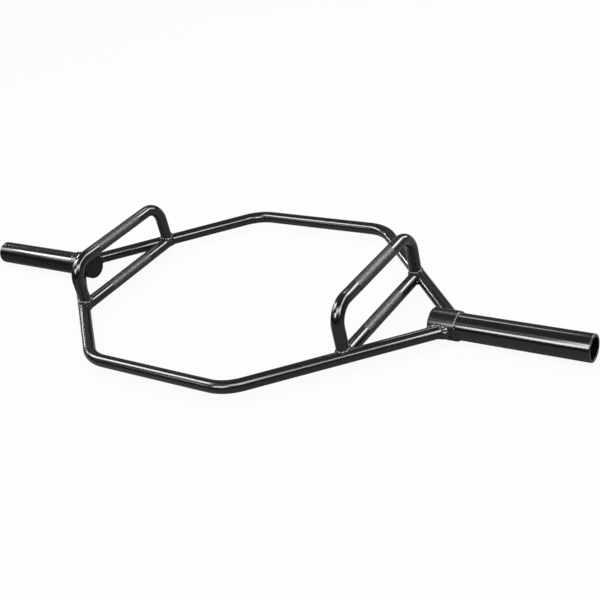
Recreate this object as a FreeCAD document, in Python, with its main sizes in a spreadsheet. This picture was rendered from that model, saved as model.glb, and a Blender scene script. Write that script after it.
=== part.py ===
import FreeCAD, Part
import math
import os
import Sketcher

# Hex trap bar: two bent frame bars make a hexagon that the lifter stands in.
# X runs along the plate sleeves, Y from front to rear, Z up, in millimetres.
# The origin lies under the middle of the bar, level with the underside of the collars.

SIZES = [
    ("bar_diameter", 25.0, "round bar of the hexagon"),
    ("vertex_reach", 488.0, "middle to where a frame bar's centreline meets the sleeve axis"),
    ("corner_half_spacing", 168.0, "middle to a corner of the hexagon, along X"),
    ("frame_half_depth", 295.5, "sleeve axis to the front or rear run"),
    ("frame_bend_radius", 90.0, "centreline radius of the four corners"),
    ("handle_diameter", 25.0, "round bar of the four handles"),
    ("handle_half_spacing", 327.0, "middle to the handles, along X"),
    ("grip_height", 97.5, "frame plane to the raised grip's centreline"),
    ("handle_bend_radius", 40.0, "centreline radius of the raised handle's bends"),
    ("leg_inset", 9.3, "frame bar's centreline to a raised handle's leg, inwards along Y"),
    ("foot_height", 3.0, "frame plane to the lowest edge of a raised handle's leg"),
    ("collar_diameter", 56.0, "outside of the collar"),
    ("collar_length", 52.5, "collar and its cap together, along X"),
    ("collar_margin", 3.0, "how far the cap stands past the frame bars' landing, towards the lifter"),
    ("collar_chamfer", 0.8, "edge break of the collar's outer face"),
    ("cap_thickness", 5.0, "disc that closes the collar"),
    ("cap_chamfer", 2.5, "bevelled rim of the cap"),
    ("sleeve_diameter", 50.0, "outside of the plate sleeve"),
    ("sleeve_wall", 5.0, "thickness of the sleeve tube"),
    ("spigot_step", 0.5, "how much the sleeve is turned down inside the collar, on the radius"),
    ("sleeve_length", 247.5, "collar's outer face to the sleeve's open end"),
    ("sleeve_chamfer", 2.0, "lead-in at the sleeve's open end"),
    ("bore_chamfer", 1.0, "edge break inside the sleeve's open end"),
    ("spigot_fit", 0.1, "gap between spigot and collar, on the radius"),
    ("root_gap", 0.3, "gap under a coped bar end, which the weld fills over"),
    ("weld_spread", 3.0, "weld bead's width on the piece that carries the joint"),
    ("weld_rise", 4.5, "weld bead's height up the piece that ends in the joint"),
    ("weld_bevel", 2.0, "slope along the outer edge of a bead"),
    ("bead_gap", 0.05, "gap between a bead and the bar end that it runs round"),
    ("ring_weld_leg", 2.6, "leg of the bead between collar and sleeve"),
    ("overrun", 60.0, "how far cutting shapes run past what they cut"),
]

# Sizes that follow from the ones above.
DERIVED = [
    ("axis_height", "=collar_diameter / 2"),
    ("bar_radius", "=bar_diameter / 2"),
    ("handle_radius", "=handle_diameter / 2"),
    ("collar_radius", "=collar_diameter / 2"),
    ("sleeve_radius", "=sleeve_diameter / 2"),
    ("bore_radius", "=sleeve_radius - sleeve_wall"),
    ("spigot_radius", "=sleeve_radius - spigot_step"),
    ("side_spread", "=vertex_reach - corner_half_spacing"),
    ("side_length", "=sqrt(side_spread ^ 2 + frame_half_depth ^ 2)"),
    ("side_angle", "=atan(frame_half_depth / side_spread) / 1 deg"),
    ("landing_inset", "=(collar_radius * side_spread + bar_radius * side_length) / frame_half_depth"),
    ("landing_reach", "=vertex_reach - landing_inset"),
    ("collar_inner_reach", "=landing_reach - collar_margin"),
    ("collar_outer_reach", "=collar_inner_reach + collar_length"),
    ("collar_seat", "=collar_inner_reach + cap_thickness"),
    ("sleeve_shoulder", "=collar_outer_reach + ring_weld_leg"),
    ("sleeve_reach", "=collar_outer_reach + sleeve_length"),
    ("run_reach", "=corner_half_spacing - frame_bend_radius * tan(side_angle / 2 * 1 deg)"),
    ("bar_reach", "=frame_half_depth * (vertex_reach - handle_half_spacing) / side_spread"),
    ("leg_reach", "=bar_reach - leg_inset"),
]

SIDES = [("right", 1), ("left", -1)]
ENDS = [("front", -1), ("rear", 1)]

# Turns in degrees.
QUARTER_TURN = 90
HALF_TURN = 180
FULL_TURN = 360

UP = FreeCAD.Vector(0, 0, 1)

# In a sketch's constraints, 1, 2 and 3 are an edge's start, end and centre.
# There -1 is the axis across, whose start is the origin, and -2 the axis up.

doc = FreeCAD.newDocument("HexTrapBar")
sheet = doc.addObject("Spreadsheet::Sheet", "Sizes")
for row, (alias, size, meaning) in enumerate(SIZES, start=1):
    sheet.set(f"A{row}", meaning)
    sheet.set(f"B{row}", str(size))
    sheet.setAlias(f"B{row}", alias)
for row, (alias, formula) in enumerate(DERIVED, start=len(SIZES) + 1):
    sheet.set(f"A{row}", alias)
    sheet.set(f"B{row}", formula)
    sheet.setAlias(f"B{row}", alias)
doc.recompute()

sub_parts = []


def value(formula):
    """The present number of a formula in the sheet's sizes."""
    return float(sheet.evalExpression(formula))


def bind(thing, formulas):
    """Ties properties of an object to formulas in the sheet's sizes."""
    for name, formula in formulas.items():
        thing.setExpression(name, formula)


def keep(thing, label):
    """Marks an object as a finished sub-part under its label."""
    thing.Label = label
    sub_parts.append(thing)
    return thing


def new_body(name, side):
    """A body lifted to the sleeve axis, turned half round about Z for the other side."""
    body = doc.addObject("PartDesign::Body", name)
    turn = 0 if side > 0 else HALF_TURN
    rotation = f"rotation(vector(0; 0; 1); {turn})"
    bind(body, {"Placement": f"placement(vector(0; 0; Sizes.axis_height); {rotation})"})
    return body


def origin_plane(body, role):
    return next(plane for plane in body.Origin.OriginFeatures if plane.Role == role)


def new_sketch(body, role, name):
    sketch = body.newObject("Sketcher::SketchObject", name)
    sketch.AttachmentSupport = [(origin_plane(body, role), "")]
    sketch.MapMode = "FlatFace"
    return sketch


def dimension(sketch, formula, kind, *places):
    """Adds a dimension to a sketch and ties it to a formula."""
    index = sketch.addConstraint(Sketcher.Constraint(kind, *places, value(formula)))
    sketch.setExpression(f"Constraints[{index}]", formula)


def place_point(sketch, geometry, point, across, up):
    """Holds a sketch point at two formulas measured from the sketch's origin."""
    if across == "0":
        sketch.addConstraint(Sketcher.Constraint("PointOnObject", geometry, point, -2))
    else:
        dimension(sketch, across, "DistanceX", -1, 1, geometry, point)
    if up == "0":
        sketch.addConstraint(Sketcher.Constraint("PointOnObject", geometry, point, -1))
    else:
        dimension(sketch, up, "DistanceY", -1, 1, geometry, point)


def outline(sketch, corners):
    """A closed outline of straight edges through corners given as pairs of formulas."""
    points = [FreeCAD.Vector(value(across), value(up), 0) for across, up in corners]
    for start, end in zip(points, points[1:] + points[:1]):
        sketch.addGeometry(Part.LineSegment(start, end))
    count = len(corners)
    for index, (across, up) in enumerate(corners):
        follower = (index + 1) % count
        sketch.addConstraint(Sketcher.Constraint("Coincident", index, 2, follower, 1))
        place_point(sketch, index, 1, across, up)


def round_section(body, role, diameter, across, up):
    """A sketched circle, the section of a round bar."""
    sketch = new_sketch(body, role, "section")
    centre = FreeCAD.Vector(value(across), value(up), 0)
    sketch.addGeometry(Part.Circle(centre, UP, value(diameter) / 2))
    place_point(sketch, 0, 3, across, up)
    dimension(sketch, diameter, "Diameter", 0)
    return sketch


def revolved(body, corners):
    """Turns an outline of (along X, radius) corners about the sleeve axis."""
    sketch = new_sketch(body, "XY_Plane", "outline")
    outline(sketch, corners)
    ring = body.newObject("PartDesign::Revolution", "ring")
    ring.Profile = sketch
    ring.ReferenceAxis = (sketch, ["H_Axis"])
    ring.Angle = FULL_TURN


def mirrored(body, role, features):
    """Repeats features on the far side of an origin plane."""
    twin = body.newObject("PartDesign::Mirrored", "twin")
    twin.Originals = features
    twin.MirrorPlane = (origin_plane(body, role), [""])
    body.Tip = twin


def pipe_along(body, section, path):
    pipe = body.newObject("PartDesign::AdditivePipe", "pipe")
    pipe.Profile = section
    pipe.Spine = (path, ["Edge1", "Edge2", "Edge3"])
    return pipe


def frame_bar(label, side):
    """Half of the hexagon: a bar bent twice, its ends coped to the collars."""
    body = new_body(label, side)
    depth = value("Sizes.frame_half_depth")
    radius = value("Sizes.frame_bend_radius")
    run = value("Sizes.run_reach")
    turn = math.radians(value("Sizes.side_angle"))
    centre = FreeCAD.Vector(run, radius - depth, 0)
    start = -math.pi / 2
    bend = Part.ArcOfCircle(Part.Circle(centre, UP, radius), start, start + turn)
    vertex = FreeCAD.Vector(value("Sizes.vertex_reach"), 0, 0)

    path = new_sketch(body, "XY_Plane", "path")
    path.addGeometry(Part.LineSegment(FreeCAD.Vector(0, -depth, 0), FreeCAD.Vector(run, -depth, 0)))
    path.addGeometry(bend)
    path.addGeometry(Part.LineSegment(bend.EndPoint, vertex))
    path.addConstraint(Sketcher.Constraint("Horizontal", 0))
    path.addConstraint(Sketcher.Constraint("Tangent", 0, 2, 1, 1))
    path.addConstraint(Sketcher.Constraint("Tangent", 1, 2, 2, 1))
    place_point(path, 0, 1, "0", "-Sizes.frame_half_depth")
    dimension(path, "Sizes.run_reach", "DistanceX", -1, 1, 0, 2)
    dimension(path, "Sizes.frame_bend_radius", "Radius", 1)
    place_point(path, 2, 2, "Sizes.vertex_reach", "0")

    section = round_section(body, "YZ_Plane", "Sizes.bar_diameter", "-Sizes.frame_half_depth", "0")
    half = pipe_along(body, section, path)
    doc.recompute()

    cope = new_sketch(body, "XY_Plane", "cope")
    near = "Sizes.vertex_reach - Sizes.overrun"
    far = "Sizes.vertex_reach + Sizes.overrun"
    seat = "-(Sizes.collar_radius + Sizes.root_gap)"
    outline(cope, [(near, "0"), (far, "0"), (far, seat), (near, seat)])
    saddle = body.newObject("PartDesign::Groove", "saddle")
    saddle.Profile = cope
    saddle.ReferenceAxis = (cope, ["H_Axis"])
    saddle.Angle = FULL_TURN
    doc.recompute()
    mirrored(body, "YZ_Plane", [half, saddle])
    return keep(body, label)


def collar(label, side):
    """Thick tube that the frame bars end on, open towards the sleeve."""
    body = new_body(label, side)
    outer = "Sizes.collar_outer_reach"
    bore = "Sizes.spigot_radius + Sizes.spigot_fit"
    skin = "Sizes.collar_radius"
    revolved(body, [
        ("Sizes.collar_seat", bore),
        (outer, bore),
        (outer, f"{skin} - Sizes.collar_chamfer"),
        (f"{outer} - Sizes.collar_chamfer", skin),
        ("Sizes.collar_seat", skin),
    ])
    return keep(body, label)


def collar_cap(label, side):
    """Disc with a bevelled rim that closes the collar towards the lifter."""
    body = new_body(label, side)
    face = "Sizes.collar_inner_reach"
    skin = "Sizes.collar_radius"
    revolved(body, [
        (face, "0"),
        ("Sizes.collar_seat", "0"),
        ("Sizes.collar_seat", skin),
        (f"{face} + Sizes.cap_chamfer", skin),
        (face, f"{skin} - Sizes.cap_chamfer"),
    ])
    return keep(body, label)


def sleeve(label, side):
    """Plate sleeve: an open tube whose turned spigot stands on the cap inside the collar."""
    body = new_body(label, side)
    end = "Sizes.sleeve_reach"
    skin = "Sizes.sleeve_radius"
    bore = "Sizes.bore_radius"
    revolved(body, [
        ("Sizes.collar_seat", bore),
        (f"{end} - Sizes.bore_chamfer", bore),
        (end, f"{bore} + Sizes.bore_chamfer"),
        (end, f"{skin} - Sizes.sleeve_chamfer"),
        (f"{end} - Sizes.sleeve_chamfer", skin),
        ("Sizes.sleeve_shoulder", skin),
        ("Sizes.sleeve_shoulder", "Sizes.spigot_radius"),
        ("Sizes.collar_seat", "Sizes.spigot_radius"),
    ])
    return keep(body, label)


def sleeve_weld(label, side):
    """Bead round the spigot, between the collar's outer face and the sleeve's shoulder."""
    body = new_body(label, side)
    face = "Sizes.collar_outer_reach"
    skin = "Sizes.sleeve_radius"
    revolved(body, [
        (face, "Sizes.spigot_radius"),
        ("Sizes.sleeve_shoulder", "Sizes.spigot_radius"),
        ("Sizes.sleeve_shoulder", skin),
        (face, f"{skin} + Sizes.ring_weld_leg"),
    ])
    return keep(body, label)


def cylinder(name, radius, length, corner, axis, turn):
    """A cylinder from a corner point, its axis turned from Z about a given axis."""
    solid = doc.addObject("Part::Cylinder", name)
    bind(solid, {
        "Radius": radius,
        "Height": length,
        "Placement": f"placement(vector({corner}); rotation(vector({axis}); {turn}))",
    })
    return solid


def side_bar(side, end, radius):
    """The line of one slanting frame bar, corner to vertex, as a cylinder."""
    across = f"{side} * Sizes.corner_half_spacing"
    corner = f"{across}; {end} * Sizes.frame_half_depth; Sizes.axis_height"
    axis = f"{end} * Sizes.frame_half_depth; {side} * Sizes.side_spread; 0"
    return cylinder("side_bar", radius, "Sizes.side_length", corner, axis, QUARTER_TURN)


def collar_line(side, radius):
    """The collar's and cap's outside as a cylinder."""
    corner = f"{side} * Sizes.collar_inner_reach; 0; Sizes.axis_height"
    length = "Sizes.collar_outer_reach - Sizes.collar_inner_reach"
    return cylinder("collar_line", radius, length, corner, f"0; {side}; 0", QUARTER_TURN)


def low_line(side, end, radius):
    """Half of a low handle as a cylinder, from its middle to the frame bar's centreline."""
    corner = f"{side} * Sizes.handle_half_spacing; 0; Sizes.axis_height"
    return cylinder("low_line", radius, "Sizes.bar_reach", corner, f"{-end}; 0; 0", QUARTER_TURN)


def beyond_bar(side, end):
    """Half of a round block, flat along a slanting frame bar's centreline and outside it."""
    across = f"{side} * Sizes.handle_half_spacing"
    corner = f"{across}; {end} * Sizes.bar_reach; Sizes.axis_height - Sizes.overrun"
    facing = 0 if end > 0 else HALF_TURN
    turn = f"{facing} - {side * end} * Sizes.side_angle"
    block = cylinder("beyond_bar", "Sizes.overrun", "2 * Sizes.overrun", corner, "0; 0; 1", turn)
    block.Angle = HALF_TURN
    return block


def leg_line(side, end, radius):
    """A raised handle's leg as a cylinder, from its foot up to the grip."""
    foot = "Sizes.axis_height + Sizes.foot_height"
    corner = f"{side} * Sizes.handle_half_spacing; {end} * Sizes.leg_reach; {foot}"
    return cylinder("leg_line", radius, "Sizes.grip_height - Sizes.foot_height", corner, "0; 0; 1", 0)


def common(first, second):
    shared = doc.addObject("Part::Common", "shared")
    shared.Base = first
    shared.Tool = second
    return shared


def cut(base, *tools):
    """The base less each tool in turn."""
    for tool in tools:
        less = doc.addObject("Part::Cut", "less")
        less.Base = base
        less.Tool = tool
        base = less
    return base


def bead_core(first, second):
    """What two swollen bars share, bevelled along the edge where their skins cross."""
    shared = common(first, second)
    doc.recompute()
    skins = sorted([first.Radius.Value, second.Radius.Value])
    bevel = value("Sizes.weld_bevel")
    rims = []
    for number, edge in enumerate(shared.Shape.Edges, start=1):
        faces = shared.Shape.ancestorsOfType(edge, Part.Face)
        radii = sorted(getattr(face.Surface, "Radius", 0) for face in faces)
        if len(radii) == 2 and all(math.isclose(one, two) for one, two in zip(radii, skins)):
            rims.append((number, bevel, bevel))
    sloped = doc.addObject("Part::Chamfer", "sloped")
    sloped.Base = shared
    sloped.Edges = rims
    return sloped


def low_handle(label, side):
    """Straight grip between the frame bars, coped to both."""
    corner = f"{side} * Sizes.handle_half_spacing; -Sizes.bar_reach; Sizes.axis_height"
    length = "2 * Sizes.bar_reach"
    bar = cylinder("low_bar", "Sizes.handle_radius", length, corner, "-1; 0; 0", QUARTER_TURN)
    seats = [side_bar(side, end, "Sizes.bar_radius + Sizes.root_gap") for _, end in ENDS]
    return keep(cut(bar, *seats), label)


def raised_handle(label, side):
    """Grip bent to a U, its feet coped to the frame bars and the low handle."""
    body = new_body(label + "_bar", side)
    height = value("Sizes.grip_height")
    radius = value("Sizes.handle_bend_radius")
    reach = value("Sizes.leg_reach")
    foot = value("Sizes.foot_height")
    centre = FreeCAD.Vector(reach - radius, height - radius, 0)
    bend = Part.ArcOfCircle(Part.Circle(centre, UP, radius), 0, math.pi / 2)

    path = new_sketch(body, "YZ_Plane", "path")
    path.setExpression("AttachmentOffset.Base.z", "Sizes.handle_half_spacing")
    path.addGeometry(Part.LineSegment(FreeCAD.Vector(0, height, 0), bend.EndPoint))
    path.addGeometry(bend)
    path.addGeometry(Part.LineSegment(bend.StartPoint, FreeCAD.Vector(reach, foot, 0)))
    path.addConstraint(Sketcher.Constraint("Horizontal", 0))
    path.addConstraint(Sketcher.Constraint("Tangent", 0, 2, 1, 2))
    path.addConstraint(Sketcher.Constraint("Tangent", 1, 1, 2, 1))
    place_point(path, 0, 1, "0", "Sizes.grip_height")
    dimension(path, "Sizes.handle_bend_radius", "Radius", 1)
    place_point(path, 2, 2, "Sizes.leg_reach", "Sizes.foot_height")

    section = round_section(body, "XZ_Plane", "Sizes.handle_diameter",
                            "Sizes.handle_half_spacing", "Sizes.grip_height")
    half = pipe_along(body, section, path)
    doc.recompute()
    mirrored(body, "XZ_Plane", [half])
    seats = []
    for _, end in ENDS:
        seats.append(side_bar(side, end, "Sizes.bar_radius + Sizes.root_gap"))
        seats.append(low_line(side, end, "Sizes.handle_radius + Sizes.root_gap"))
    return keep(cut(body, *seats), label)


def collar_weld(label, side, end):
    """Bead round a frame bar where it lands on the collar."""
    core = bead_core(side_bar(side, end, "Sizes.bar_radius + Sizes.weld_spread"),
                     collar_line(side, "Sizes.collar_radius + Sizes.weld_rise"))
    bead = cut(core,
               side_bar(side, end, "Sizes.bar_radius"),
               collar_line(side, "Sizes.collar_radius"))
    return keep(bead, label)


def low_weld(label, side, end):
    """Bead under and beside a low handle's end, up to the foot of the raised handle."""
    core = common(low_line(side, end, "Sizes.handle_radius + Sizes.weld_spread"),
                  side_bar(side, end, "Sizes.bar_radius + Sizes.weld_rise"))
    above = doc.addObject("Part::Box", "above")
    bind(above, {
        "Length": "2 * Sizes.overrun",
        "Width": "2 * Sizes.overrun",
        "Height": "Sizes.overrun",
        "Placement.Base.x": f"{side} * Sizes.handle_half_spacing - Sizes.overrun",
        "Placement.Base.y": f"{end} * Sizes.bar_reach - Sizes.overrun",
        "Placement.Base.z": "Sizes.axis_height + Sizes.foot_height",
    })
    bead = cut(core,
               side_bar(side, end, "Sizes.bar_radius"),
               low_line(side, end, "Sizes.handle_radius + Sizes.bead_gap"),
               above,
               beyond_bar(side, end))
    return keep(bead, label)


def foot_weld(label, side, end):
    """Bead round a raised handle's foot where it lands on the frame bar."""
    core = bead_core(leg_line(side, end, "Sizes.handle_radius + Sizes.weld_spread"),
                     side_bar(side, end, "Sizes.bar_radius + Sizes.weld_rise"))
    bead = cut(core,
               side_bar(side, end, "Sizes.bar_radius"),
               leg_line(side, end, "Sizes.handle_radius"),
               low_line(side, end, "Sizes.handle_radius"))
    return keep(bead, label)


for end_name, end in ENDS:
    frame_bar(f"{end_name}_frame_bar", -end)

for side_name, side in SIDES:
    collar(f"{side_name}_collar", side)
    collar_cap(f"{side_name}_collar_cap", side)
    sleeve(f"{side_name}_sleeve", side)
    sleeve_weld(f"{side_name}_sleeve_weld", side)
    low_handle(f"{side_name}_low_handle", side)
    raised_handle(f"{side_name}_raised_handle", side)
    for end_name, end in ENDS:
        place = f"{side_name}_{end_name}"
        collar_weld(f"{place}_collar_weld", side, end)
        low_weld(f"{place}_low_handle_weld", side, end)
        foot_weld(f"{place}_raised_handle_weld", side, end)

doc.recompute()

# Every object must have rebuilt, and every sub-part must be sound.
for thing in doc.Objects:
    if "Invalid" in thing.State or "Error" in thing.State:
        raise RuntimeError(f"{thing.Label} did not rebuild: {thing.State}")
for piece in sub_parts:
    if piece.Shape.isNull() or not piece.Shape.isValid() or not piece.Shape.Solids:
        raise RuntimeError(f"{piece.Label} has no sound solid")

os.makedirs("parts", exist_ok=True)
for piece in sub_parts:
    piece.Shape.exportStep(f"parts/{piece.Label}.step")
    print(f"{piece.Label}: {len(piece.Shape.Solids)} solid, {piece.Shape.Volume:.1f} cubic mm")
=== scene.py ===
import math

import bpy
import numpy as np
from mathutils import Matrix


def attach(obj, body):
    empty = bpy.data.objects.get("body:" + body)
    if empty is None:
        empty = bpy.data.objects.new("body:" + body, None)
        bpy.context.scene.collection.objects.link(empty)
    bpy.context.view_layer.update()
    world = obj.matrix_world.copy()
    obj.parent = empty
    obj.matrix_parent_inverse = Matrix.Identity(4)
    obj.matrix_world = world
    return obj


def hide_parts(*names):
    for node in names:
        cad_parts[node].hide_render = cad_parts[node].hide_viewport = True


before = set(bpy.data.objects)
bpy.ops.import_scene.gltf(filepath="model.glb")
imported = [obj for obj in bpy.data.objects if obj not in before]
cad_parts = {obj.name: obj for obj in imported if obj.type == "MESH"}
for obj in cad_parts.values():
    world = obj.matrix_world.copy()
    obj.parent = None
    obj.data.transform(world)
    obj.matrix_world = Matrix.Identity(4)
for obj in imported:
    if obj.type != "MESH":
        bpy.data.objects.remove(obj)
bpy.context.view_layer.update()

# Sizes of the bar in metres, as the solids have them.
BAR_RADIUS = 0.0125
VERTEX_REACH = 0.488
CORNER_HALF_SPACING = 0.168
FRAME_HALF_DEPTH = 0.2955
FRAME_BEND_RADIUS = 0.090
HANDLE_RADIUS = 0.0125
HANDLE_HALF_SPACING = 0.327
GRIP_HEIGHT = 0.0975
HANDLE_BEND_RADIUS = 0.040
LEG_INSET = 0.0093
FOOT_HEIGHT = 0.003
COLLAR_RADIUS = 0.028
COLLAR_LENGTH = 0.0525
COLLAR_MARGIN = 0.003
COLLAR_CHAMFER = 0.0008
CAP_THICKNESS = 0.005
CAP_CHAMFER = 0.0025
SLEEVE_RADIUS = 0.025
SLEEVE_BORE_RADIUS = 0.020
SPIGOT_RADIUS = 0.0245
SPIGOT_FIT = 0.0001
SLEEVE_LENGTH = 0.2475
SLEEVE_CHAMFER = 0.002
BORE_CHAMFER = 0.001
ROOT_GAP = 0.0003

# Weld beads: how far each toe lies from the joint, and the ripples along the bead.
WELD_SPREAD = 0.003
WELD_RISE = 0.0045
WELD_CROWN = 0.0024
RING_WELD_LEG = 0.0026
RING_WELD_CROWN = 0.0010
RIPPLE_PITCH = 0.0070
RIPPLE_SHARE = 0.85
RIPPLE_BOW = 1.6

# Knurling on the four grips: a diamond pattern of crossed grooves.
KNURL_LENGTH = 0.130
KNURL_PITCH = 0.0016
KNURL_DEPTH = 0.00034
KNURL_DIAMONDS_ROUND = 48
KNURL_RUN_OUT = 0.0016
POINTS_PER_DIAMOND = 4

# How finely round things are divided.
BAR_SIDES = 72
TURNED_SIDES = 128
BEND_STEPS = 25
BEAD_STATIONS = 220
BEAD_SMOOTHING = 5
BEAD_WIDTH_STEPS = 11
EDGE_STEPS = 5
CAP_SHARES = np.array([0.66, 0.33])
SHARP_ANGLE = math.radians(35)
STRAIGHT_COSINE = 1 - 1e-9

TAU = 2 * math.pi
UP = np.array([0.0, 0.0, 1.0])
ACROSS = np.array([1.0, 0.0, 0.0])
ALONG = np.array([0.0, 1.0, 0.0])
SIDES = (("right", 1), ("left", -1))
ENDS = (("front", -1), ("rear", 1))

# Places that follow from the sizes.
AXIS_HEIGHT = COLLAR_RADIUS
SIDE_SPREAD = VERTEX_REACH - CORNER_HALF_SPACING
SIDE_LENGTH = math.hypot(SIDE_SPREAD, FRAME_HALF_DEPTH)
BAR_REACH = FRAME_HALF_DEPTH * (VERTEX_REACH - HANDLE_HALF_SPACING) / SIDE_SPREAD
LEG_REACH = BAR_REACH - LEG_INSET
LANDING_SPREAD = COLLAR_RADIUS * SIDE_SPREAD + BAR_RADIUS * SIDE_LENGTH
LANDING_REACH = VERTEX_REACH - LANDING_SPREAD / FRAME_HALF_DEPTH
COLLAR_INNER = LANDING_REACH - COLLAR_MARGIN
COLLAR_OUTER = COLLAR_INNER + COLLAR_LENGTH
COLLAR_SEAT = COLLAR_INNER + CAP_THICKNESS
SLEEVE_SHOULDER = COLLAR_OUTER + RING_WELD_LEG
SLEEVE_END = COLLAR_OUTER + SLEEVE_LENGTH


def turn_angles(count):
    """Angles of a full turn, evenly spaced, without the repeated last one."""
    return np.linspace(0, TAU, count, endpoint=False)


def grid_quads(rows, columns, rows_close):
    """Corners of a grid's quads; the columns close on themselves, and the rows where asked."""
    row = np.arange(rows if rows_close else rows - 1)[:, None]
    column = np.arange(columns)[None, :]
    near = row * columns
    far = (row + 1) % rows * columns
    ahead = (column + 1) % columns
    quads = np.stack([near + column, near + ahead, far + ahead, far + column], axis=-1)
    return quads.reshape(-1, 4)


def closed_skin(rings):
    """Skin over rings of points in which the last ring joins the first."""
    rows, columns, _ = rings.shape
    return rings.reshape(-1, 3), grid_quads(rows, columns, True), np.zeros((0, 3), int)


def capped_skin(rings, start, finish):
    """Skin over rings of points whose first and last ring are each drawn to one point."""
    rows, columns, _ = rings.shape
    points = np.concatenate([rings.reshape(-1, 3), [start, finish]])
    here = np.arange(columns)
    ahead = (here + 1) % columns
    last = (rows - 1) * columns
    start_tip = np.full(columns, rows * columns)
    finish_tip = start_tip + 1
    start_fan = np.stack([start_tip, ahead, here], axis=-1)
    finish_fan = np.stack([finish_tip, last + here, last + ahead], axis=-1)
    return points, grid_quads(rows, columns, False), np.concatenate([start_fan, finish_fan])


def faced_outwards(points, quads, triangles):
    """Turns the faces round where the volume that they enclose comes out negative."""
    halves = np.concatenate([quads[:, [0, 1, 2]], quads[:, [0, 2, 3]], triangles])
    first, second, third = points[halves[:, 0]], points[halves[:, 1]], points[halves[:, 2]]
    volume = (first * np.cross(second, third)).sum()
    if volume < 0:
        return quads[:, ::-1], triangles[:, ::-1]
    return quads, triangles


def add_piece(name, skin, material, nodes, attributes=None):
    """Makes a mesh object from a skin, gives it its finish and rides it on the frame."""
    points, quads, triangles = skin
    quads, triangles = faced_outwards(points, quads, triangles)
    corners = np.concatenate([quads.ravel(), triangles.ravel()]).astype(np.int32)
    sizes = np.concatenate([np.full(len(quads), 4), np.full(len(triangles), 3)]).astype(np.int32)
    starts = (np.cumsum(sizes) - sizes).astype(np.int32)
    mesh = bpy.data.meshes.new(name)
    mesh.vertices.add(len(points))
    mesh.vertices.foreach_set("co", points.astype(np.float32).ravel())
    mesh.loops.add(len(corners))
    mesh.loops.foreach_set("vertex_index", corners)
    mesh.polygons.add(len(sizes))
    mesh.polygons.foreach_set("loop_start", starts)
    mesh.polygons.foreach_set("use_smooth", np.ones(len(sizes), bool))
    mesh.update(calc_edges=True)
    mesh.validate()
    mesh.set_sharp_from_angle(angle=SHARP_ANGLE)
    for label, numbers in (attributes or {}).items():
        layer = mesh.attributes.new(label, "FLOAT", "POINT")
        layer.data.foreach_set("value", numbers.astype(np.float32).ravel())
    mesh.materials.append(material)
    piece = bpy.data.objects.new(name, mesh)
    bpy.context.scene.collection.objects.link(piece)
    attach(piece, "root")
    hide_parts(*nodes)


def bent_line(corners, bend_radius):
    """Centreline through corners rounded by arcs, as stations and unit tangents.
    An arc starts its radius times the tangent of half the turn before its corner."""
    corners = np.asarray(corners, float)
    runs = np.diff(corners, axis=0)
    ways = runs / np.linalg.norm(runs, axis=1, keepdims=True)
    stations = [corners[:1]]
    tangents = [ways[:1]]
    for corner, before, after in zip(corners[1:-1], ways[:-1], ways[1:]):
        turn = math.acos(before @ after)
        inward = (after - before * math.cos(turn)) / math.sin(turn)
        start = corner - before * bend_radius * math.tan(turn / 2)
        angle = np.linspace(0, turn, BEND_STEPS)[:, None]
        ahead, aside = np.sin(angle), 1 - np.cos(angle)
        stations.append(start + bend_radius * (ahead * before + aside * inward))
        tangents.append(np.cos(angle) * before + np.sin(angle) * inward)
    stations.append(corners[-1:])
    tangents.append(ways[-1:])
    return np.concatenate(stations), np.concatenate(tangents)


def round_rings(stations, tangents, lift, radius, angles):
    """Circles carried along a flat path: a point stands its radius off the centreline,
    turned by its angle from the path's own normal towards the lift direction."""
    normal = np.cross(lift, tangents)
    turned = angles[None, :, None]
    offset = np.cos(turned) * normal[:, None, :] + np.sin(turned) * lift
    return stations[:, None, :] + np.asarray(radius)[..., None] * offset


def circle_about(centre, way, lift, radius, angles):
    """One circle of points about a centre, square to a way."""
    return round_rings(centre[None], way[None], lift, radius, angles)[0]


def on_collar(points, way, end, radius):
    """Slides points along a straight way until they are a radius from the sleeve axis."""
    height = points[..., 2] - AXIS_HEIGHT
    depth = end * np.sqrt(radius ** 2 - height ** 2)
    slide = (depth - points[..., 1]) / way[1]
    return points + slide[..., None] * way


def inside_bar(points, side, end):
    """How far points lie inside the slanting frame bar's centreline, seen from above."""
    reach = VERTEX_REACH - side * points[..., 0]
    return (FRAME_HALF_DEPTH * reach - SIDE_SPREAD * end * points[..., 1]) / SIDE_LENGTH


def on_side_bar(points, side, end, radius):
    """Slides points along Y until they are a radius from a slanting frame bar's centreline,
    on its inner side. Points above or below the bar stop over the centreline."""
    height = points[..., 2] - AXIS_HEIGHT
    inset = np.sqrt(np.maximum(radius ** 2 - height ** 2, 0))
    reach = VERTEX_REACH - side * points[..., 0]
    moved = points.copy()
    moved[..., 1] = end * (FRAME_HALF_DEPTH * reach - SIDE_LENGTH * inset) / SIDE_SPREAD
    return moved


def on_foot_seat(points, side, end, swell):
    """Drops points onto what a raised handle's foot stands on, swollen by a thickness:
    the higher of the frame bar, the low handle and the plane where the leg stops."""
    bar = np.sqrt(np.maximum((BAR_RADIUS + swell) ** 2 - inside_bar(points, side, end) ** 2, 0))
    aside = points[..., 0] - side * HANDLE_HALF_SPACING
    handle = np.sqrt(np.maximum((HANDLE_RADIUS + swell) ** 2 - aside ** 2, 0))
    within = end * points[..., 1] < BAR_REACH
    moved = points.copy()
    moved[..., 2] = AXIS_HEIGHT + np.maximum(np.maximum(bar, handle * within), FOOT_HEIGHT)
    return moved


def shrunk(ring, centre):
    """Smaller copies of a ring about a centre, down towards it."""
    return centre + CAP_SHARES[:, None, None] * (ring - centre)[None]


def end_rings(rings, stations):
    """First and last ring of a bar, each with the smaller rings that close its end."""
    first = np.concatenate([shrunk(rings[0], stations[0])[::-1], rings[:1]])
    last = np.concatenate([rings[-1:], shrunk(rings[-1], stations[-1])])
    return first, last


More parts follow.
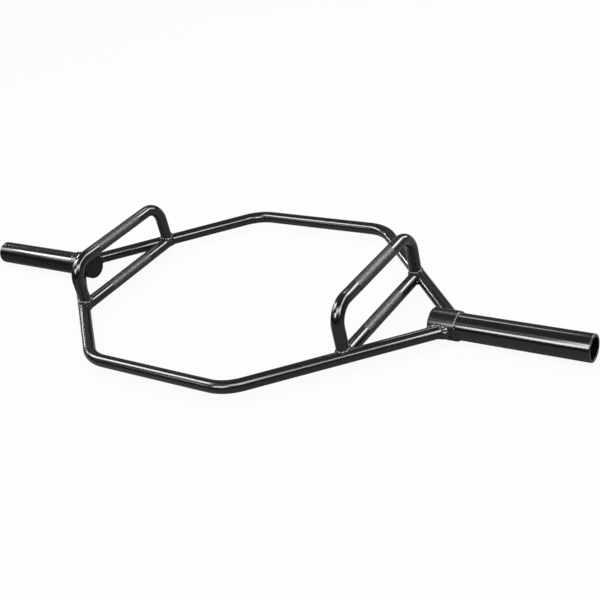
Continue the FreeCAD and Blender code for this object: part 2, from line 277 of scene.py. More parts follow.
def frame_bar(end):
    """Half of the hexagon: a round bar along a centreline bent twice, whose end rings slide
    along the bar until they lie on the collar, so that each end is a saddle."""
    corners = [
        (-VERTEX_REACH, 0, AXIS_HEIGHT),
        (-CORNER_HALF_SPACING, end * FRAME_HALF_DEPTH, AXIS_HEIGHT),
        (CORNER_HALF_SPACING, end * FRAME_HALF_DEPTH, AXIS_HEIGHT),
        (VERTEX_REACH, 0, AXIS_HEIGHT),
    ]
    stations, tangents = bent_line(corners, FRAME_BEND_RADIUS)
    rings = round_rings(stations, tangents, UP, BAR_RADIUS, turn_angles(BAR_SIDES))
    first, last = end_rings(rings, stations)
    seat = COLLAR_RADIUS + ROOT_GAP
    first = on_collar(first, tangents[0], end, seat)
    last = on_collar(last, tangents[-1], end, seat)
    start = on_collar(stations[0], tangents[0], end, seat)
    finish = on_collar(stations[-1], tangents[-1], end, seat)
    return capped_skin(np.concatenate([first, rings[1:-1], last]), start, finish)


def knurl_height(along, angles):
    """Height of the knurling from 0 in a groove to 1 on a crest, and how far it is run out.
    Two families of grooves climb round the bar in opposite senses; each is a triangle wave
    of the turn plus or minus the travel, and the lower of the two is the surface."""
    travel = (along / KNURL_PITCH)[:, None]
    turn = (angles * KNURL_DIAMONDS_ROUND / TAU)[None, :]
    climb = 1 - np.abs(2 * np.mod(turn + travel, 1) - 1)
    fall = 1 - np.abs(2 * np.mod(turn - travel, 1) - 1)
    from_end = (KNURL_LENGTH / 2 - np.abs(along)) / KNURL_RUN_OUT
    return np.minimum(climb, fall), np.clip(from_end, 0, 1)[:, None] * np.ones_like(climb)


def knurl_stations():
    """Places along a grip where the knurling has its crests, grooves and flanks."""
    rows = 2 * round(KNURL_LENGTH / KNURL_PITCH * POINTS_PER_DIAMOND / 2)
    return np.arange(-rows / 2, rows / 2 + 1) * KNURL_PITCH / POINTS_PER_DIAMOND


def handle_line(side, along, height):
    """Places over a handle's line at one height, one for each distance along Y."""
    across = np.full_like(along, side * HANDLE_HALF_SPACING)
    return np.stack([across, along, np.full_like(along, height)], axis=-1)


def handle_rings(stations, tangents):
    """Rings of a handle with its knurl height and zone. In the zone a crest stands half the
    knurl's depth above the bar, and a groove lies half the depth below it."""
    angles = turn_angles(KNURL_DIAMONDS_ROUND * POINTS_PER_DIAMOND)
    along = stations[:, 1]
    straight = np.abs(tangents[:, 1]) > STRAIGHT_COSINE
    grip = straight & (np.abs(along) <= KNURL_LENGTH / 2)
    height, zone = knurl_height(along, angles)
    zone = zone * grip[:, None]
    radius = HANDLE_RADIUS + KNURL_DEPTH / 2 * zone * (2 * height - 1)
    return round_rings(stations, tangents, ACROSS, radius, angles), height * zone, zone


def handle_attributes(height, zone, first_rows, last_rows):
    """Knurl height and zone for every point of a handle, with none on its end rings and tips."""
    columns = height.shape[1]
    tips = 2
    before = np.zeros(first_rows * columns)
    after = np.zeros(last_rows * columns + tips)
    return {
        "knurl_height": np.concatenate([before, height[1:-1].ravel(), after]),
        "knurl_zone": np.concatenate([before, zone[1:-1].ravel(), after]),
    }


def low_handle(side):
    """Straight grip between the slanting frame bars: each end ring slides along the handle
    until it lies on its frame bar."""
    along = np.concatenate([[-BAR_REACH], knurl_stations(), [BAR_REACH]])
    stations = handle_line(side, along, AXIS_HEIGHT)
    tangents = np.tile(ALONG, (len(along), 1))
    rings, height, zone = handle_rings(stations, tangents)
    front, rear = end_rings(rings, stations)
    seat = BAR_RADIUS + ROOT_GAP
    front = on_side_bar(front, side, -1, seat)
    rear = on_side_bar(rear, side, 1, seat)
    start = on_side_bar(stations[0], side, -1, seat)
    finish = on_side_bar(stations[-1], side, 1, seat)
    skin = capped_skin(np.concatenate([front, rings[1:-1], rear]), start, finish)
    return skin, handle_attributes(height, zone, len(front), len(rear))


def raised_handle(side):
    """Grip bent to a U: the foot rings drop until they lie on the frame bar and the low handle."""
    across = side * HANDLE_HALF_SPACING
    foot = AXIS_HEIGHT + FOOT_HEIGHT
    top = AXIS_HEIGHT + GRIP_HEIGHT
    corners = [
        (across, -LEG_REACH, foot),
        (across, -LEG_REACH, top),
        (across, LEG_REACH, top),
        (across, LEG_REACH, foot),
    ]
    stations, tangents = bent_line(corners, HANDLE_BEND_RADIUS)
    half = len(stations) // 2
    grip = handle_line(side, knurl_stations(), top)
    grip_tangents = np.tile(ALONG, (len(grip), 1))
    stations = np.concatenate([stations[:half], grip, stations[half:]])
    tangents = np.concatenate([tangents[:half], grip_tangents, tangents[half:]])
    rings, height, zone = handle_rings(stations, tangents)
    front, rear = end_rings(rings, stations)
    front = on_foot_seat(front, side, -1, ROOT_GAP)
    rear = on_foot_seat(rear, side, 1, ROOT_GAP)
    start = on_foot_seat(stations[0], side, -1, ROOT_GAP)
    finish = on_foot_seat(stations[-1], side, 1, ROOT_GAP)
    skin = capped_skin(np.concatenate([front, rings[1:-1], rear]), start, finish)
    return skin, handle_attributes(height, zone, len(front), len(rear))


def turned_rings(outline, side):
    """Turns an outline of (along X, radius) points about the sleeve axis."""
    outline = np.asarray(outline, float)
    angles = turn_angles(TURNED_SIDES)
    along = np.repeat(side * outline[:, :1], len(angles), axis=1)
    depth = outline[:, 1:] * np.cos(angles)
    height = AXIS_HEIGHT + outline[:, 1:] * np.sin(angles)
    return np.stack([along, depth, height], axis=-1)


def rounded_corner(corner, first, second):
    """Round on a corner of an outline, from one step off it to another step off it:
    a parabola whose tangents meet in the corner."""
    share = np.linspace(0, 1, EDGE_STEPS)[:, None]
    corner = np.asarray(corner, float)
    start, finish = corner + first, corner + second
    return (1 - share) ** 2 * start + 2 * share * (1 - share) * corner + share ** 2 * finish


def collar(side):
    """Thick tube round the sleeve's spigot, its outer rim broken."""
    bore = SPIGOT_RADIUS + SPIGOT_FIT
    edge = (COLLAR_OUTER, COLLAR_RADIUS)
    rim = rounded_corner(edge, (0, -COLLAR_CHAMFER), (-COLLAR_CHAMFER, 0))
    outline = np.concatenate([
        [(COLLAR_SEAT, bore), (COLLAR_OUTER, bore)], rim, [(COLLAR_SEAT, COLLAR_RADIUS)]])
    return closed_skin(turned_rings(outline, side))


def collar_cap(side):
    """Disc that closes the collar, its rim rounded towards the lifter."""
    edge = (COLLAR_INNER, COLLAR_RADIUS)
    rim = rounded_corner(edge, (CAP_CHAMFER, 0), (0, -CAP_CHAMFER))
    outline = np.concatenate([[(COLLAR_SEAT, COLLAR_RADIUS)], rim])
    back = np.array([side * COLLAR_SEAT, 0, AXIS_HEIGHT])
    face = np.array([side * COLLAR_INNER, 0, AXIS_HEIGHT])
    return capped_skin(turned_rings(outline, side), back, face)


def sleeve(side):
    """Plate sleeve: an open tube with a lead-in at its end and a spigot inside the collar."""
    inner_edge = (SLEEVE_END, SLEEVE_BORE_RADIUS)
    outer_edge = (SLEEVE_END, SLEEVE_RADIUS)
    bore_rim = rounded_corner(inner_edge, (-BORE_CHAMFER, 0), (0, BORE_CHAMFER))
    lead_in = rounded_corner(outer_edge, (0, -SLEEVE_CHAMFER), (-SLEEVE_CHAMFER, 0))
    spigot = [
        (SLEEVE_SHOULDER, SLEEVE_RADIUS),
        (SLEEVE_SHOULDER, SPIGOT_RADIUS),
        (COLLAR_SEAT, SPIGOT_RADIUS),
    ]
    outline = np.concatenate([[(COLLAR_SEAT, SLEEVE_BORE_RADIUS)], bore_rim, lead_in, spigot])
    return closed_skin(turned_rings(outline, side))


def bead_rings(branch_toe, run_toe, root, crown):
    """Sections of a weld bead along a joint. Across the bead a parabola runs from one toe to the
    other and swells away from the root, more on the ripples, which bow forward in its middle."""
    across = np.linspace(0, 1, BEAD_WIDTH_STEPS)[None, :]
    step = np.linalg.norm(np.diff(root, axis=0, append=root[:1]), axis=1)
    travel = np.cumsum(step) - step
    ripples = max(round(step.sum() / RIPPLE_PITCH), 1)
    arch = across * (1 - across)
    phase = (travel / step.sum() * ripples)[:, None] - RIPPLE_BOW * arch
    ripple = np.abs(np.sin(math.pi * phase))
    middle = (branch_toe + run_toe) / 2
    out = middle - root
    out = out / np.linalg.norm(out, axis=1, keepdims=True)
    swell = arch / arch.max() * crown * (1 - RIPPLE_SHARE + RIPPLE_SHARE * ripple)
    share = across[..., None]
    top = (1 - share) * branch_toe[:, None] + share * run_toe[:, None]
    top = top + swell[..., None] * out[:, None]
    return np.concatenate([top, root[:, None]], axis=1)


def evened(numbers, reach):
    """Each number replaced by the mean of its neighbours on a closed line."""
    moved = [np.roll(numbers, shift, axis=0) for shift in range(-reach, reach + 1)]
    return np.mean(moved, axis=0)


def collar_bead(side, end):
    """Bead round a frame bar where it lands on the collar. The toes are where the swollen bar
    meets the collar and where the bar meets the swollen collar."""
    vertex = np.array([side * VERTEX_REACH, 0, AXIS_HEIGHT])
    way = np.array([side * SIDE_SPREAD, -end * FRAME_HALF_DEPTH, 0]) / SIDE_LENGTH
    angles = turn_angles(BEAD_STATIONS)
    bar = circle_about(vertex, way, UP, BAR_RADIUS, angles)
    swollen = circle_about(vertex, way, UP, BAR_RADIUS + WELD_SPREAD, angles)
    branch_toe = on_collar(bar, way, end, COLLAR_RADIUS + WELD_RISE)
    run_toe = on_collar(swollen, way, end, COLLAR_RADIUS)
    reach = np.maximum(side * run_toe[:, 0], COLLAR_INNER + CAP_CHAMFER)
    run_toe[:, 0] = side * reach
    root = on_collar(bar, way, end, COLLAR_RADIUS)
    return closed_skin(bead_rings(branch_toe, run_toe, root, WELD_CROWN))


def foot_bead(side, end):
    """Bead round a raised handle's foot. The toes are where the swollen leg meets what it stands on
    and where the leg meets that swollen; both are evened along the bead."""
    centre = np.array([side * HANDLE_HALF_SPACING, end * LEG_REACH, AXIS_HEIGHT])
    angles = turn_angles(BEAD_STATIONS)
    leg = circle_about(centre, UP, ACROSS, HANDLE_RADIUS, angles)
    swollen = circle_about(centre, UP, ACROSS, HANDLE_RADIUS + WELD_SPREAD, angles)
    branch_toe = evened(on_foot_seat(leg, side, end, WELD_RISE), BEAD_SMOOTHING)
    run_toe = evened(on_foot_seat(swollen, side, end, 0), BEAD_SMOOTHING)
    root = evened(on_foot_seat(leg, side, end, 0), BEAD_SMOOTHING)
    return closed_skin(bead_rings(branch_toe, run_toe, root, WELD_CROWN))


def low_bead(side, end):
    """Bead under and beside a low handle's end, from one side of the raised foot to the other.
    Its toes draw in to the root at both ends and where the two bars are level."""
    centre = np.array([side * HANDLE_HALF_SPACING, 0, AXIS_HEIGHT])
    start = math.pi / 2 - math.asin(FOOT_HEIGHT / HANDLE_RADIUS)
    angles = np.linspace(start, TAU - start, BEAD_STATIONS)
    share = (angles - start) / (TAU - 2 * start)
    fade = np.sqrt(np.clip(np.sin(share * math.pi), 0, 1))[:, None]
    level = np.abs(np.sin(angles))[:, None]
    handle = circle_about(centre, ALONG, ACROSS, HANDLE_RADIUS, angles)
    swollen = circle_about(centre, ALONG, ACROSS, HANDLE_RADIUS + WELD_SPREAD, angles)
    root = on_side_bar(handle, side, end, BAR_RADIUS)
    branch_toe = on_side_bar(handle, side, end, BAR_RADIUS + WELD_RISE)
    run_toe = on_side_bar(swollen, side, end, BAR_RADIUS)
    branch_toe = root + fade * (branch_toe - root)
    run_toe = root + fade * level * (run_toe - root)
    rings = bead_rings(branch_toe, run_toe, root, WELD_CROWN * fade)
    return capped_skin(rings[1:-1], root[0], root[-1])


def ring_bead(side):
    """Bead round the spigot between the collar's outer face and the sleeve, rippled all round."""
    angles = turn_angles(BEAD_STATIONS)
    face = np.array([side * COLLAR_OUTER, 0, AXIS_HEIGHT])
    shoulder = np.array([side * SLEEVE_SHOULDER, 0, AXIS_HEIGHT])
    face_toe = circle_about(face, ACROSS, UP, SLEEVE_RADIUS + RING_WELD_LEG, angles)
    sleeve_toe = circle_about(shoulder, ACROSS, UP, SLEEVE_RADIUS, angles)
    root = circle_about(face, ACROSS, UP, SPIGOT_RADIUS, angles)
    return closed_skin(bead_rings(face_toe, sleeve_toe, root, RING_WELD_CROWN))


WHITE = (1, 1, 1, 1)
# Sockets of the Mix nodes by number, because several of a node's sockets share a name.
MIX_NUMBER_A, MIX_NUMBER_B, MIX_NUMBER_RESULT = 2, 3, 0
MIX_COLOUR_A, MIX_COLOUR_B, MIX_COLOUR_RESULT = 6, 7, 2
MIX_SHADER_A, MIX_SHADER_B = 1, 2


def new_material(name, shader_kind):
    """Material with one shader on its output, as (material, nodes, links, shader)."""
    material = bpy.data.materials.new(name)
    material.use_nodes = True
    nodes = material.node_tree.nodes
    links = material.node_tree.links
    nodes.clear()
    shader = nodes.new(shader_kind)
    output = nodes.new("ShaderNodeOutputMaterial")
    links.new(shader.outputs[0], output.inputs["Surface"])
    return material, nodes, links, shader


def noise(nodes, links, scale, detail):
    """Noise on the piece's own coordinates, which are metres."""
    place = nodes.new("ShaderNodeTexCoord")
    texture = nodes.new("ShaderNodeTexNoise")
    texture.inputs["Scale"].default_value = scale
    texture.inputs["Detail"].default_value = detail
    links.new(place.outputs["Object"], texture.inputs["Vector"])
    return texture.outputs["Fac"]


def ranged(nodes, links, source, low, high):
    """A number from 0 to 1 taken to a range."""
    spread = nodes.new("ShaderNodeMapRange")
    spread.inputs["To Min"].default_value = low
    spread.inputs["To Max"].default_value = high
    links.new(source, spread.inputs["Value"])
    return spread.outputs["Result"]


def blended(nodes, links, source, dark, light):
    """A colour between two, by a number from 0 to 1."""
    ramp = nodes.new("ShaderNodeValToRGB")
    ramp.color_ramp.elements[0].color = (*dark, 1)
    ramp.color_ramp.elements[1].color = (*light, 1)
    links.new(source, ramp.inputs["Fac"])
    return ramp.outputs["Color"]


def bumped(nodes, links, shader, source, strength, distance):
    """Bump from a height, on the shader's normal."""
    bump = nodes.new("ShaderNodeBump")
    bump.inputs["Strength"].default_value = strength
    bump.inputs["Distance"].default_value = distance
    links.new(source, bump.inputs["Height"])
    links.new(bump.outputs["Normal"], shader.inputs["Normal"])


# The gloss black coat. Each roughness runs from the smoothest places to the roughest.
COAT_DARK = (0.004, 0.004, 0.0043)
COAT_LIGHT = (0.009, 0.009, 0.0095)
COAT_SPECULAR = 0.5
COLLAR_SPECULAR = 0.32
FRAME_ROUGHNESS = (0.13, 0.2)
COLLAR_ROUGHNESS = (0.22, 0.3)
SLEEVE_ROUGHNESS = (0.1, 0.16)
HANDLE_ROUGHNESS = (0.09, 0.17)
COAT_MOTTLE_SCALE = 55.0
COAT_MOTTLE_DETAIL = 4.0
COAT_PEEL_SCALE = 420.0
COAT_PEEL_DETAIL = 2.0
COAT_PEEL_STRENGTH = 0.004
COAT_PEEL_DISTANCE = 0.0004


def gloss_black(name, roughness, specular):
    """Gloss black finish: near-black, slightly mottled, with a faint peel in its gloss."""
    material, nodes, links, shader = new_material(name, "ShaderNodeBsdfPrincipled")
    mottle = noise(nodes, links, COAT_MOTTLE_SCALE, COAT_MOTTLE_DETAIL)
    peel = noise(nodes, links, COAT_PEEL_SCALE, COAT_PEEL_DETAIL)
    links.new(blended(nodes, links, mottle, COAT_DARK, COAT_LIGHT), shader.inputs["Base Color"])
    links.new(ranged(nodes, links, mottle, *roughness), shader.inputs["Roughness"])
    shader.inputs["Specular IOR Level"].default_value = specular
    bumped(nodes, links, shader, peel, COAT_PEEL_STRENGTH, COAT_PEEL_DISTANCE)
    return material


# The knurled band, with painted light: its crests are painted lighter, a painted sheen, and its
# grooves darker, painted shade.
KNURL_GROOVE_SHADE = (0.008, 0.008, 0.0085)
KNURL_CREST_SHEEN = (0.03, 0.03, 0.0305)
KNURL_ROUGHNESS = 0.4
KNURL_SPECULAR = 0.5


def knurled_black(name):
    """Gloss black whose knurled band is rougher, with its crests painted lighter and its grooves
    darker: a painted sheen and painted shade for the light that the knurl scatters.
    """
    material, nodes, links, shader = new_material(name, "ShaderNodeBsdfPrincipled")
    height = nodes.new("ShaderNodeAttribute")
    height.attribute_name = "knurl_height"
    zone = nodes.new("ShaderNodeAttribute")
    zone.attribute_name = "knurl_zone"
    mottle = noise(nodes, links, COAT_MOTTLE_SCALE, COAT_MOTTLE_DETAIL)
    peel = noise(nodes, links, COAT_PEEL_SCALE, COAT_PEEL_DETAIL)
    smooth_colour = blended(nodes, links, mottle, COAT_DARK, COAT_LIGHT)
    # Painted sheen and shade: the colour runs from a dark groove to a light crest by the knurl's
    # height.
    knurl_sheen_colour = blended(nodes, links, height.outputs["Fac"], KNURL_GROOVE_SHADE, KNURL_CREST_SHEEN)
    colour = nodes.new("ShaderNodeMix")
    colour.data_type = "RGBA"
    links.new(zone.outputs["Fac"], colour.inputs["Factor"])
    links.new(smooth_colour, colour.inputs[MIX_COLOUR_A])
    links.new(knurl_sheen_colour, colour.inputs[MIX_COLOUR_B])
    links.new(colour.outputs[MIX_COLOUR_RESULT], shader.inputs["Base Color"])
    smooth_roughness = ranged(nodes, links, mottle, *HANDLE_ROUGHNESS)
    roughness = nodes.new("ShaderNodeMix")
    links.new(zone.outputs["Fac"], roughness.inputs["Factor"])
    links.new(smooth_roughness, roughness.inputs[MIX_NUMBER_A])
    roughness.inputs[MIX_NUMBER_B].default_value = KNURL_ROUGHNESS
    links.new(roughness.outputs[MIX_NUMBER_RESULT], shader.inputs["Roughness"])
    shader.inputs["Specular IOR Level"].default_value = KNURL_SPECULAR
    bumped(nodes, links, shader, peel, COAT_PEEL_STRENGTH, COAT_PEEL_DISTANCE)
    return material


# The coat where it runs over the weld beads.
WELD_SPECULAR = 0.75
WELD_ROUGHNESS = (0.14, 0.26)
WELD_GRAIN_SCALE = 900.0
WELD_GRAIN_DETAIL = 3.0
WELD_GRAIN_STRENGTH = 0.1
WELD_GRAIN_DISTANCE = 0.0004


def weld_black(name):
    """Gloss black run over a weld: uneven gloss and a fine grain on the ripples."""
    material, nodes, links, shader = new_material(name, "ShaderNodeBsdfPrincipled")
    grain = noise(nodes, links, WELD_GRAIN_SCALE, WELD_GRAIN_DETAIL)
    mottle = noise(nodes, links, COAT_MOTTLE_SCALE, COAT_MOTTLE_DETAIL)
    links.new(blended(nodes, links, mottle, COAT_DARK, COAT_LIGHT), shader.inputs["Base Color"])
    links.new(ranged(nodes, links, grain, *WELD_ROUGHNESS), shader.inputs["Roughness"])
    shader.inputs["Specular IOR Level"].default_value = WELD_SPECULAR
    bumped(nodes, links, shader, grain, WELD_GRAIN_STRENGTH, WELD_GRAIN_DISTANCE)
    return material


frame_finish = gloss_black("frame_gloss_black", FRAME_ROUGHNESS, COAT_SPECULAR)
collar_finish = gloss_black("collar_gloss_black", COLLAR_ROUGHNESS, COLLAR_SPECULAR)
sleeve_finish = gloss_black("sleeve_gloss_black", SLEEVE_ROUGHNESS, COAT_SPECULAR)
handle_finish = knurled_black("handle_knurled_black")
weld_finish = weld_black("weld_gloss_black")

for end_name, end in ENDS:
    add_piece(f"{end_name}_bent_bar", frame_bar(end), frame_finish,
              [f"{end_name}_frame_bar"])

for side_name, side in SIDES:
    add_piece(f"{side_name}_collar_tube", collar(side), collar_finish,
              [f"{side_name}_collar"])
    add_piece(f"{side_name}_collar_disc", collar_cap(side), collar_finish,
              [f"{side_name}_collar_cap"])
    add_piece(f"{side_name}_plate_sleeve", sleeve(side), sleeve_finish,
              [f"{side_name}_sleeve"])
    add_piece(f"{side_name}_ring_bead", ring_bead(side), weld_finish,
              [f"{side_name}_sleeve_weld"])
    skin, marks = low_handle(side)
    add_piece(f"{side_name}_low_grip", skin, handle_finish,
              [f"{side_name}_low_handle"], marks)
    skin, marks = raised_handle(side)
    add_piece(f"{side_name}_raised_grip", skin, handle_finish,
              [f"{side_name}_raised_handle"], marks)
    for end_name, end in ENDS:
        place = f"{side_name}_{end_name}"
        add_piece(f"{place}_collar_bead", collar_bead(side, end), weld_finish,
                  [f"{place}_collar_weld"])
        add_piece(f"{place}_low_bead", low_bead(side, end), weld_finish,
                  [f"{place}_low_handle_weld"])
        add_piece(f"{place}_foot_bead", foot_bead(side, end), weld_finish,
                  [f"{place}_raised_handle_weld"])

# Stage: a pale floor in a white world under one plain overhead lamp, with soft boxes and cards
# that only show in the gloss of the coat.
FLOOR_REACH = 6.0
FLOOR_COLOUR = (0.9, 0.9, 0.9, 1)
FLOOR_GLOW_SHARE = 0.93
AMBIENT = 0.64
OVERHEAD_SIZE = 4.0
OVERHEAD_HEIGHT = 2.6
OVERHEAD_BRIGHTNESS = 1.0

# The way in which the slanting frame bars at the front right and rear left run.
ALONG_SLANT = (0.735, 0.678, 0)
# Each soft box: name, place, what it looks at, the way its width lies, width, height, brightness.
SOFT_BOXES = (
    ("left_strip", (-2.02, -0.48, 1.65), (-2.02, -0.48, 0.0), ACROSS, 2.26, 0.5, 22.0),
    ("left_inner_box", (-1.5, -0.95, 1.65), (-1.5, -0.95, 0.0), ACROSS, 1.4, 0.4, 7.0),
    ("left_mid_box", (-1.89, -0.62, 1.12), (-0.3, -0.1, 0.1), ALONG, 0.6, 0.4, 6.0),
    ("left_side_box", (-2.17, -0.27, 0.71), (-0.3, -0.1, 0.1), ALONG, 0.52, 0.34, 8.0),
    ("left_low_box", (-2.0, 0.205, 0.36), (-0.25, -0.22, 0.03), ALONG, 0.17, 0.18, 15.0),
    ("left_back_box", (-2.2, 0.645, 0.45), (0.33, 0.15, 0.03), ALONG, 0.17, 0.42, 29.0),
    ("front_box", (-0.22, -2.42, 1.6), (-0.22, 0.0, 0.05), ACROSS, 1.3, 0.7, 20.0),
    ("front_low_box", (0.03, -2.42, 1.17), (0.66, 0.0, 0.03), ACROSS, 0.34, 0.24, 12.0),
    ("front_high_box", (-0.35, -1.5, 2.2), (-0.35, -1.5, 0.0), ACROSS, 1.4, 0.8, 1.4),
    ("front_right_box", (0.34, -1.72, 1.8), (0.0, 0.0, 0.0), ACROSS, 0.5, 0.55, 6.0),
    ("front_left_box", (-1.95, -2.43, 1.7), (0.0, 0.0, 0.0), ACROSS, 0.5, 0.5, 7.0),
    ("camera_box", (1.77, -1.7, 2.0), (0.33, -0.14, 0.04), ALONG_SLANT, 1.5, 0.6, 11.5),
    ("camera_left_box", (0.61, -1.235, 1.5), (-0.33, 0.14, 0.04), ALONG_SLANT, 0.7, 0.7, 12.0),
    ("right_strip", (1.745, 0.22, 1.85), (0.0, -0.1, 0.1), (-0.38, 0.92, 0), 3.1, 0.76, 13.0),
    ("right_low_box", (1.8, -0.77, 1.0), (0.33, -0.1, 0.1), (0.4, 0.92, 0), 0.55, 0.9, 9.0),
    ("back_right_box", (0.94, 2.2, 0.85), (0.33, -0.1, 0.1), ACROSS, 0.6, 0.9, 9.0),
    ("back_box", (1.32, 2.1, 1.9), (0.0, 0.0, 0.0), (0.865, -0.5, 0), 1.25, 0.7, 17.0),
    ("back_halo", (1.4, 2.25, 1.75), (0.0, 0.0, 0.0), (0.82, -0.57, 0), 2.2, 1.5, 1.7),
    ("back_low_box", (2.4, 2.1, 0.5), (0.0, 0.0, 0.1), (0.656, -0.755, 0), 1.6, 1.0, 0.3),
    ("back_left_box", (-0.8, 2.3, 3.0), (0.6, 0.0, 0.05), ACROSS, 1.2, 0.6, 8.0),
)

# Dark flags stand round the bar, with grey walls over them and a grey scrim over those.
FLAG_WAYS = (("right", (1, 0)), ("rear", (0, 1)), ("left", (-1, 0)), ("front", (0, -1)))
FLAG_REACH = 3.4
FLAG_TOP = 1.0
FLAG_GLOW = 0.027
WALL_GLOW = 0.3
SCRIM_HEIGHT = 3.2
SCRIM_GLOW = 0.27
FLOOR_CARD_HEIGHT = 0.0005
FLOOR_CARD_COLOUR = (0.55, 0.55, 0.55, 1)
# A dark card on the floor that shows only in gloss: painted shade for the floor below the left
# sleeve, which darkens the lower half of that sleeve.
FLOOR_SHADE_CORNERS = (
    (-2.0, -0.7, 0.001), (-0.45, -0.7, 0.001), (-0.45, 0.02, 0.001), (-2.0, 0.02, 0.001))
FLOOR_SHADE_GLOW = 0.15


def seen_directly(nodes, links):
    """1 for rays from the camera, a gloss or a glass, and 0 for the others."""
    path = nodes.new("ShaderNodeLightPath")
    first = nodes.new("ShaderNodeMath")
    first.operation = "MAXIMUM"
    links.new(path.outputs["Is Camera Ray"], first.inputs[0])
    links.new(path.outputs["Is Glossy Ray"], first.inputs[1])
    second = nodes.new("ShaderNodeMath")
    second.operation = "MAXIMUM"
    links.new(first.outputs["Value"], second.inputs[0])
    links.new(path.outputs["Is Transmission Ray"], second.inputs[1])
    return second.outputs["Value"]


def white_world():
    """Even light on the object, and plain white where the world is seen."""
    world = bpy.data.worlds.new("studio")
    bpy.context.scene.world = world
    world.use_nodes = True
    nodes = world.node_tree.nodes
    links = world.node_tree.links
    nodes.clear()
    light = nodes.new("ShaderNodeBackground")
    light.inputs["Strength"].default_value = AMBIENT
    white = nodes.new("ShaderNodeBackground")
    white.inputs["Color"].default_value = WHITE
    white.inputs["Strength"].default_value = 1.0
    mix = nodes.new("ShaderNodeMixShader")
    output = nodes.new("ShaderNodeOutputWorld")
    links.new(seen_directly(nodes, links), mix.inputs["Fac"])
    links.new(light.outputs["Background"], mix.inputs[MIX_SHADER_A])
    links.new(white.outputs["Background"], mix.inputs[MIX_SHADER_B])
    links.new(mix.outputs["Shader"], output.inputs["Surface"])


def level_square(reach, height):
    """Corners of a level square round the middle of the bar."""
    return [(-reach, -reach, height), (reach, -reach, height),
            (reach, reach, height), (-reach, reach, height)]


def stage_card(name, corners, material):
    """Flat card through four corners that belongs to the stage, not to the bar."""
    mesh = bpy.data.meshes.new(name)
    mesh.from_pydata(corners, [], [(0, 1, 2, 3)])
    mesh.materials.append(material)
    card = bpy.data.objects.new(name, mesh)
    bpy.context.scene.collection.objects.link(card)
    return card


def pale_floor():
    """Square floor under the collars: a pale matt surface that glows white where it is seen."""
    material, nodes, links, mix = new_material("floor_white", "ShaderNodeMixShader")
    matt = nodes.new("ShaderNodeBsdfDiffuse")
    matt.inputs["Color"].default_value = FLOOR_COLOUR
    glow = nodes.new("ShaderNodeEmission")
    glow.inputs["Color"].default_value = WHITE
    share = nodes.new("ShaderNodeMath")
    share.operation = "MULTIPLY"
    share.inputs[1].default_value = FLOOR_GLOW_SHARE
    links.new(seen_directly(nodes, links), share.inputs[0])
    links.new(share.outputs["Value"], mix.inputs["Fac"])
    links.new(matt.outputs["BSDF"], mix.inputs[MIX_SHADER_A])
    links.new(glow.outputs["Emission"], mix.inputs[MIX_SHADER_B])
    stage_card("floor", level_square(FLOOR_REACH, 0), material)


def placed(right, top, back, place):
    """Matrix of a thing whose own X, Y and Z lie along three ways, at a place."""
    matrix = np.identity(4)
    matrix[:3] = np.stack([right, top, back, np.asarray(place, float)], axis=-1)
    return Matrix(matrix.tolist())


def new_lamp(name, width, height, brightness):
    """Area lamp of a size whose face has a brightness, where 1 is white."""
    data = bpy.data.lights.new(name, "AREA")
    data.shape = "RECTANGLE"
    data.size = width
    data.size_y = height
    data.energy = brightness * math.pi * width * height
    lamp = bpy.data.objects.new(name, data)
    lamp.visible_camera = False
    bpy.context.scene.collection.objects.link(lamp)
    return lamp


def aimed(place, target, along):
    """Place and turn of a lamp that looks from a place at a target, its width lying along a way."""
    along = np.asarray(along, float)
    back = np.asarray(place, float) - target
    back = back / np.linalg.norm(back)
    right = along - back * (back @ along)
    right = right / np.linalg.norm(right)
    return placed(right, np.cross(back, right), back, place)


def soft_box(name, place, target, along, width, height, brightness):
    """Rectangular studio lamp, evenly bright across its face, that shows in gloss only."""
    lamp = new_lamp(name, width, height, brightness)
    lamp.matrix_world = aimed(place, target, along)
    lamp.visible_diffuse = False


def gloss_card(name, corners, shader_kind):
    """Card that only shows in gloss, so that the bars have dark and grey surroundings to mirror.
    Gives its shader node, on which the caller sets how light it is."""
    material, _, _, shade = new_material(name, shader_kind)
    card = stage_card(name, corners, material)
    card.visible_camera = False
    card.visible_diffuse = False
    card.visible_shadow = False
    card.visible_transmission = False
    return shade


def flag(name, corners, glow):
    """Gloss card with an even glow."""
    shade = gloss_card(name, corners, "ShaderNodeEmission")
    shade.inputs["Color"].default_value = WHITE
    shade.inputs["Strength"].default_value = glow


def standing_flag(name, way, low, high, glow):
    """Flag that stands square across a way, as far off as it reaches aside, between two heights."""
    out = FLAG_REACH * np.array([*way, 0])
    aside = FLAG_REACH * np.array([-way[1], way[0], 0])
    foot, top = low * UP, high * UP
    flag(name, [out - aside + foot, out + aside + foot, out + aside + top, out - aside + top], glow)


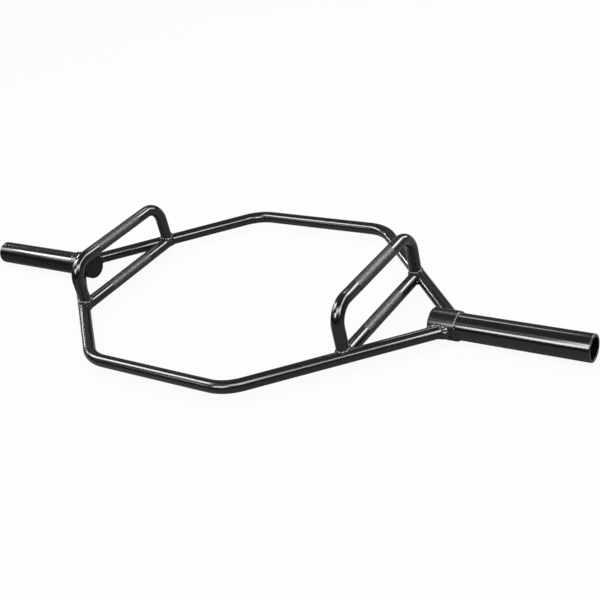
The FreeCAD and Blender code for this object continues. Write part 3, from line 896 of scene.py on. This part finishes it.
def grey_floor_card():
    """Matt grey gloss card just over the floor, so that the gloss sees no white floor."""
    corners = level_square(FLAG_REACH, FLOOR_CARD_HEIGHT)
    shade = gloss_card("floor_card", corners, "ShaderNodeBsdfDiffuse")
    shade.inputs["Color"].default_value = FLOOR_CARD_COLOUR


white_world()
pale_floor()
overhead = new_lamp("overhead_box", OVERHEAD_SIZE, OVERHEAD_SIZE, OVERHEAD_BRIGHTNESS)
overhead.location = (0, 0, OVERHEAD_HEIGHT)
overhead.visible_glossy = False
for box in SOFT_BOXES:
    soft_box(*box)
for way_name, way in FLAG_WAYS:
    standing_flag(f"flag_{way_name}", way, 0, FLAG_TOP, FLAG_GLOW)
    standing_flag(f"flag_{way_name}_wall", way, FLAG_TOP, SCRIM_HEIGHT, WALL_GLOW)
flag("scrim", level_square(FLAG_REACH, SCRIM_HEIGHT), SCRIM_GLOW)
# Painted shade: a dark gloss-only card on the floor under the left sleeve.
flag("floor_shade_card", FLOOR_SHADE_CORNERS, FLOOR_SHADE_GLOW)
grey_floor_card()

# Camera at the photograph's angle.
CAMERA_PLACE = (1.29023, -1.36091, 1.05824)
CAMERA_YAW = -0.7022
CAMERA_PITCH = 0.5240
CAMERA_ROLL = -0.2376
SENSOR_WIDTH = 36.0
FOCAL_PIXELS = 1039.88
IMAGE_PIXELS = 600


def photo_camera():
    """Camera at its place: turned by yaw about Z, tipped down by pitch, rolled about its view."""
    level = math.cos(CAMERA_PITCH)
    view = np.array([
        math.sin(CAMERA_YAW) * level, math.cos(CAMERA_YAW) * level, -math.sin(CAMERA_PITCH)])
    flat_right = np.cross(view, UP)
    flat_right = flat_right / np.linalg.norm(flat_right)
    flat_top = np.cross(flat_right, view)
    right = math.cos(CAMERA_ROLL) * flat_right + math.sin(CAMERA_ROLL) * flat_top
    top = -math.sin(CAMERA_ROLL) * flat_right + math.cos(CAMERA_ROLL) * flat_top
    data = bpy.data.cameras.new("camera")
    data.sensor_width = SENSOR_WIDTH
    data.lens = SENSOR_WIDTH * FOCAL_PIXELS / IMAGE_PIXELS
    camera = bpy.data.objects.new("camera", data)
    camera.matrix_world = placed(right, top, -view, CAMERA_PLACE)
    bpy.context.scene.collection.objects.link(camera)
    bpy.context.scene.camera = camera


photo_camera()
bpy.context.scene.view_settings.view_transform = "Standard"
